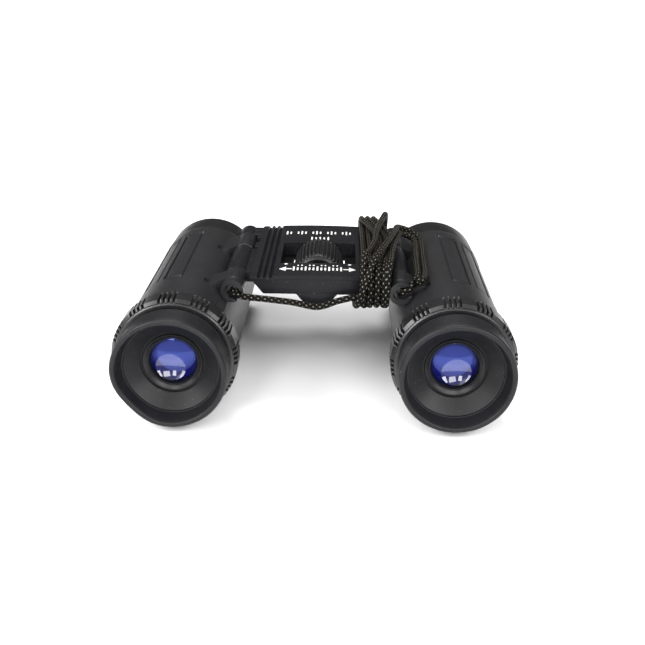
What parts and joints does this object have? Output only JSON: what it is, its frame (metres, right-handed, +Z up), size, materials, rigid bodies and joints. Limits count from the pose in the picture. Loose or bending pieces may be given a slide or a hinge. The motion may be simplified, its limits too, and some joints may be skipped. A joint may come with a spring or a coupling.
{
  "type": "compact folding binoculars",
  "caption": "Compact double-hinged roof-prism binoculars with central focus wheel, dioptre ring, rubber eyecups and a cord strap wound round the bridge.",
  "frame": {"origin": "on the surface under the middle of the object, centred on the box of the object without its strap", "axes": "+Z up, +Y from the eyecups to the objectives along the barrels, +X to the right-hand barrel as the user looks through"},
  "size_m": [0.11, 0.0948, 0.0372],
  "materials": {
    "bridge_plastic": "fine satin black, moulded",
    "frame_plastic": "fine satin black, moulded",
    "soft_skin": "soft-touch black coating",
    "grip_plastic": "satin black, ribbed",
    "wheel_plastic": "satin black, knurled",
    "inner_plastic": "matt black against stray light",
    "eyecup_rubber": "matt black soft rubber",
    "coated_glass": "blue anti-reflection coating",
    "clear_glass": "polished",
    "steel": "turned",
    "spring_steel": "blackened",
    "brass": "turned",
    "aluminium": "die cast",
    "strap_cord": "black braided polyester with pale flecks"
  },
  "bodies": {
    "bridge": {"bridge_body": "bridge_plastic", "bridge_bottom_plate": "frame_plastic", "bottom_screws": "steel", "spindle_bushes": "brass", "hinge_washers": "steel", "strap_bundle": "strap_cord"},
    "focus_wheel": {"focus_wheel": "wheel_plastic", "focus_spindle": "steel", "spindle_clip": "spring_steel"},
    "focus_carriage": {"focus_nut": "brass", "focus_yoke": "aluminium", "drive_rods": "steel"},
    "left_barrel": {"barrel_frame_left": "frame_plastic", "barrel_skin_left": "soft_skin", "objective_ring_left": "frame_plastic", "prism_holder_left": "inner_plastic", "half_penta_prism_left": "clear_glass", "roof_prism_left": "clear_glass", "strap_lug_left": "frame_plastic", "grip_ring_left": "grip_plastic", "eyepiece_tube_left": "inner_plastic", "bezel_left": "inner_plastic", "eye_lens_left": "coated_glass", "lens_spacer_left": "inner_plastic", "field_lens_left": "clear_glass", "eyecup_left": "eyecup_rubber", "strap_left_span": "strap_cord"},
    "left_objective": {"objective_cell_left": "inner_plastic", "objective_lens_left": "coated_glass", "objective_retainer_left": "inner_plastic", "drive_fork_left": "steel"},
    "right_barrel": {"barrel_frame_right": "frame_plastic", "barrel_skin_right": "soft_skin", "objective_ring_right": "frame_plastic", "prism_holder_right": "inner_plastic", "half_penta_prism_right": "clear_glass", "roof_prism_right": "clear_glass", "strap_lug_right": "frame_plastic", "strap_right_tail": "strap_cord"},
    "right_objective": {"objective_cell_right": "inner_plastic", "objective_lens_right": "coated_glass", "objective_retainer_right": "inner_plastic", "drive_fork_right": "steel"},
    "dioptre_ring": {"dioptre_ring": "grip_plastic"},
    "right_eyepiece": {"eyepiece_tube_right": "inner_plastic", "bezel_right": "inner_plastic", "eye_lens_right": "coated_glass", "lens_spacer_right": "inner_plastic", "field_lens_right": "clear_glass", "eyecup_right": "eyecup_rubber", "dioptre_key": "brass"}
  },
  "joints": [
    {"name": "left_fold", "type": "hinge", "parent": "bridge", "child": "left_barrel", "pos_m": [-0.0239, 0, 0.0302], "axis": [0, -1, 0], "range_deg": [0, 66], "deforming": ["strap_left_span"]},
    {"name": "right_fold", "type": "hinge", "parent": "bridge", "child": "right_barrel", "pos_m": [0.0239, 0, 0.0302], "axis": [0, 1, 0], "range_deg": [0, 66], "deforming": ["strap_bundle", "strap_right_tail"]},
    {"name": "focus_wheel_turn", "type": "hinge", "parent": "bridge", "child": "focus_wheel", "pos_m": [0, 0, 0.0286], "axis": [0, 1, 0], "range_deg": [-225, 225]},
    {"name": "focus_carriage_slide", "type": "slide", "parent": "bridge", "child": "focus_carriage", "axis": [0, 1, 0], "range_m": [-0.00175, 0.00175]},
    {"name": "left_objective_slide", "type": "slide", "parent": "left_barrel", "child": "left_objective", "axis": [0, 1, 0], "range_m": [-0.00175, 0.00175]},
    {"name": "right_objective_slide", "type": "slide", "parent": "right_barrel", "child": "right_objective", "axis": [0, 1, 0], "range_m": [-0.00175, 0.00175]},
    {"name": "dioptre_turn", "type": "hinge", "parent": "right_barrel", "child": "dioptre_ring", "pos_m": [0.0378, 0, 0.0172], "axis": [0, 1, 0], "range_deg": [-40, 40]},
    {"name": "right_eyepiece_slide", "type": "slide", "parent": "right_barrel", "child": "right_eyepiece", "axis": [0, 1, 0], "range_m": [-0.0006, 0.0006]}
  ],
  "couplings": [
    {"joint": "focus_wheel_turn", "follows": "focus_carriage_slide", "rad_per_m": 2244},
    {"joint": "left_objective_slide", "follows": "focus_carriage_slide", "ratio": 1},
    {"joint": "right_objective_slide", "follows": "focus_carriage_slide", "ratio": 1},
    {"joint": "dioptre_turn", "follows": "right_eyepiece_slide", "rad_per_m": 1163.5}
  ]
}
